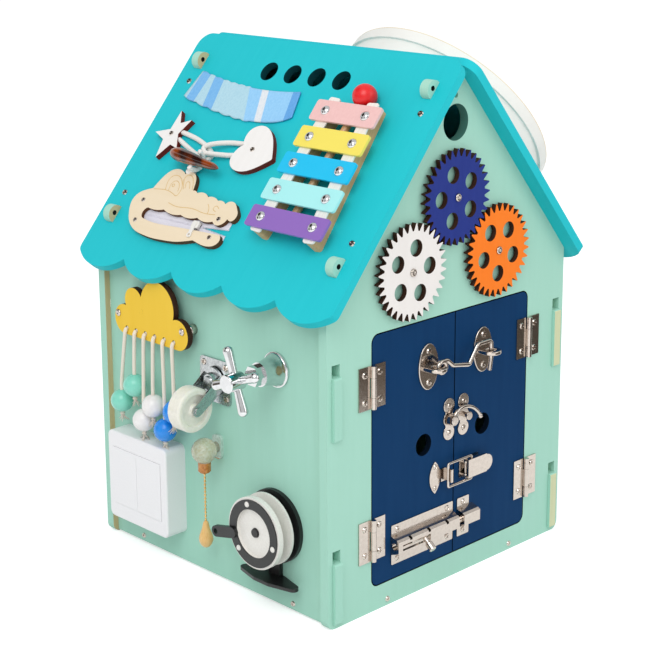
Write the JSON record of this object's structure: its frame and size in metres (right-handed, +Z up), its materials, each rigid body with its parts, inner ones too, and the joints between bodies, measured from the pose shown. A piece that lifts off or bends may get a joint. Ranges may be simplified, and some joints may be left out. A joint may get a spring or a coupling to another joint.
{
  "type": "activity house",
  "caption": "Wooden activity house with a scalloped pitched roof, latched double doors, turning gears, a tap, a caster, a switch, beads on cords, a reel and a xylophone.",
  "frame": {"origin": "centre of the floor panel underside, on the ground", "axes": "+Z up, -Y out of the gable with the doors, -X out of the wall with the tap and the beads"},
  "size_m": [0.3952, 0.3409, 0.4854],
  "materials": {
    "mint_board": "painted",
    "turquoise_board": "painted",
    "navy_board": "painted",
    "yellow_board": "painted",
    "bare_board": "sanded",
    "white_board": "painted",
    "indigo_board": "painted",
    "orange_board": "painted",
    "bars": "gloss",
    "red_ball": "gloss",
    "mint_bead": "gloss",
    "white_bead": "gloss",
    "blue_bead": "gloss",
    "zinc": "satin",
    "chrome": "polished",
    "nylon": "satin",
    "white_plastic": "gloss",
    "bulb": "gloss",
    "black_plastic": "satin",
    "chain": "satin",
    "cord": "matt",
    "strap": "matt",
    "tape": "matt",
    "zip_metal": "gloss",
    "horn": "gloss",
    "drum": "satin"
  },
  "bodies": {
    "house": {"front_gable": "mint_board", "back_gable": "mint_board", "left_wall": "mint_board", "right_wall": "mint_board", "floor_panel": "bare_board", "left_roof": "turquoise_board", "right_roof": "turquoise_board", "fixed_pins": "zinc", "frame_hinge_leaves": "zinc", "cloud_board": "yellow_board", "switch_box": "white_plastic", "tap_body": "chrome", "caster_plate": "zinc", "lamp_body": "bulb", "reel_frame": "black_plastic", "xylophone_rails": "bare_board", "xylophone_bars": "bars", "star_board": "white_board", "heart_board": "white_board", "button_loops": "cord", "crocodile_board": "bare_board", "zip_tape": "tape", "lace_strap": "strap", "hand_drum": "drum"},
    "left_leaf": {"left_door": "navy_board", "left_door_hinge_leaves": "zinc", "hook_base": "zinc", "clasp_plate": "zinc", "strike_plate": "zinc", "bolt_case": "zinc"},
    "right_leaf": {"right_door": "navy_board", "right_door_hinge_leaves": "zinc", "hook_eye": "zinc", "clasp_catch": "zinc", "latch_base": "zinc", "bolt_keeper": "zinc"},
    "cabin_hook_body": {"cabin_hook": "zinc"},
    "clasp_arm_body": {"clasp_arm": "zinc"},
    "latch_lever_body": {"latch_lever": "zinc"},
    "latch_bail_body": {"latch_bail": "zinc"},
    "door_bolt_body": {"door_bolt": "zinc"},
    "white_gear_body": {"white_gear": "white_board"},
    "blue_gear_body": {"blue_gear": "indigo_board"},
    "orange_gear_body": {"orange_gear": "orange_board"},
    "tap_handle_body": {"tap_handle": "chrome"},
    "caster_fork_body": {"caster_fork": "zinc"},
    "caster_wheel_body": {"caster_wheel": "nylon"},
    "reel_spool_body": {"reel_spool": "white_plastic"},
    "pull_chain_body": {"pull_chain": "chain"},
    "left_key_body": {"left_key": "white_plastic"},
    "right_key_body": {"right_key": "white_plastic"},
    "mallet_body": {"mallet": "red_ball"},
    "zip_slider_body": {"zip_slider": "zip_metal"},
    "horn_toggle_body": {"horn_toggle": "horn"},
    "bead_string_1_body": {"bead_string_1": "mint_bead"},
    "bead_string_2_body": {"bead_string_2": "mint_bead"},
    "bead_string_3_body": {"bead_string_3": "white_bead"},
    "bead_string_4_body": {"bead_string_4": "white_bead"},
    "bead_string_5_body": {"bead_string_5": "blue_bead"},
    "bead_string_6_body": {"bead_string_6": "blue_bead"}
  },
  "joints": [
    {"name": "left_door_swing", "type": "hinge", "parent": "house", "child": "left_leaf", "pos_m": [-0.1035, -0.1552, 0.13575], "axis": [0, 0, -1], "range_deg": [0, 104]},
    {"name": "right_door_swing", "type": "hinge", "parent": "house", "child": "right_leaf", "pos_m": [0.1035, -0.1552, 0.13575], "axis": [0, 0, 1], "range_deg": [0, 104]},
    {"name": "cabin_hook_lift", "type": "hinge", "parent": "left_leaf", "child": "cabin_hook_body", "pos_m": [-0.0265, -0.1632, 0.2065], "axis": [0, -1, 0], "range_deg": [0, 100]},
    {"name": "clasp_arm_lift", "type": "hinge", "parent": "left_leaf", "child": "clasp_arm_body", "pos_m": [-0.0056, -0.1575, 0.1517], "axis": [0, -1, 0], "range_deg": [0, 95]},
    {"name": "latch_lever_lift", "type": "hinge", "parent": "right_leaf", "child": "latch_lever_body", "pos_m": [0.0145, -0.1567, 0.1015], "axis": [0, 0, -1], "range_deg": [0, 100]},
    {"name": "latch_bail_swing", "type": "hinge", "parent": "latch_lever_body", "child": "latch_bail_body", "pos_m": [0.0202, -0.1585, 0.1015], "axis": [0, 0, -1], "range_deg": [-100, 0]},
    {"name": "door_bolt_slide", "type": "slide", "parent": "left_leaf", "child": "door_bolt_body", "axis": [-1, 0, 0], "range_m": [0, 0.0258]},
    {"name": "blue_gear_turn", "type": "hinge", "parent": "house", "child": "blue_gear_body", "pos_m": [-0.0035, -0.1565, 0.3525], "axis": [0, -1, 0], "continuous": true},
    {"name": "white_gear_turn", "type": "hinge", "parent": "house", "child": "white_gear_body", "pos_m": [-0.05971, -0.1565, 0.29629], "axis": [0, -1, 0], "continuous": true},
    {"name": "orange_gear_turn", "type": "hinge", "parent": "house", "child": "orange_gear_body", "pos_m": [0.05271, -0.1565, 0.29629], "axis": [0, -1, 0], "continuous": true},
    {"name": "tap_turn", "type": "hinge", "parent": "house", "child": "tap_handle_body", "pos_m": [-0.1965, -0.0867, 0.2158], "axis": [-1, 0, 0], "continuous": true},
    {"name": "caster_swivel", "type": "hinge", "parent": "house", "child": "caster_fork_body", "pos_m": [-0.158, -0.008, 0.188], "axis": [-1, 0, 0], "continuous": true},
    {"name": "caster_roll", "type": "hinge", "parent": "caster_fork_body", "child": "caster_wheel_body", "pos_m": [-0.181, -0.008, 0.169], "axis": [0, 1, 0], "continuous": true},
    {"name": "reel_spin", "type": "hinge", "parent": "house", "child": "reel_spool_body", "pos_m": [-0.168, -0.084, 0.0745], "axis": [-1, 0, 0], "continuous": true},
    {"name": "pull_chain_swing", "type": "hinge", "parent": "house", "child": "pull_chain_body", "pos_m": [-0.1675, -0.0095, 0.1067], "axis": [0, 1, 0], "range_deg": [0, 45]},
    {"name": "left_key_rock", "type": "hinge", "parent": "house", "child": "left_key_body", "pos_m": [-0.1718, 0.0817, 0.0723], "axis": [0, 1, 0], "range_deg": [-3, 3]},
    {"name": "right_key_rock", "type": "hinge", "parent": "house", "child": "right_key_body", "pos_m": [-0.1718, 0.0817, 0.0723], "axis": [0, 1, 0], "range_deg": [-3, 3]},
    {"name": "mallet_draw", "type": "slide", "parent": "house", "child": "mallet_body", "axis": [0.5951, -0.1148, 0.7955], "range_m": [0, 0.12]},
    {"name": "zip_slider_run", "type": "slide", "parent": "house", "child": "zip_slider_body", "axis": [0, 1, 0], "range_m": [-0.02, 0.065]},
    {"name": "horn_toggle_turn", "type": "hinge", "parent": "house", "child": "horn_toggle_body", "pos_m": [-0.10738, 0.0648, 0.36999], "axis": [-0.766, 0, 0.6428], "range_deg": [-20, 20]},
    {"name": "bead_string_1_swing", "type": "hinge", "parent": "house", "child": "bead_string_1_body", "pos_m": [-0.1662, 0.10085, 0.2166], "axis": [0, 1, 0], "range_deg": [0, 40]},
    {"name": "bead_string_2_swing", "type": "hinge", "parent": "house", "child": "bead_string_2_body", "pos_m": [-0.1662, 0.08735, 0.2166], "axis": [0, 1, 0], "range_deg": [0, 40]},
    {"name": "bead_string_3_swing", "type": "hinge", "parent": "house", "child": "bead_string_3_body", "pos_m": [-0.1662, 0.07385, 0.2166], "axis": [0, 1, 0], "range_deg": [0, 40]},
    {"name": "bead_string_4_swing", "type": "hinge", "parent": "house", "child": "bead_string_4_body", "pos_m": [-0.1662, 0.06035, 0.2166], "axis": [0, 1, 0], "range_deg": [0, 40]},
    {"name": "bead_string_5_swing", "type": "hinge", "parent": "house", "child": "bead_string_5_body", "pos_m": [-0.1662, 0.04685, 0.2166], "axis": [0, 1, 0], "range_deg": [0, 40]},
    {"name": "bead_string_6_swing", "type": "hinge", "parent": "house", "child": "bead_string_6_body", "pos_m": [-0.1662, 0.03335, 0.2166], "axis": [0, 1, 0], "range_deg": [0, 40]}
  ],
  "couplings": [
    {"joint": "white_gear_turn", "follows": "blue_gear_turn", "ratio": -1},
    {"joint": "orange_gear_turn", "follows": "blue_gear_turn", "ratio": -1},
    {"joint": "latch_bail_swing", "follows": "latch_lever_lift", "ratio": -1}
  ]
}
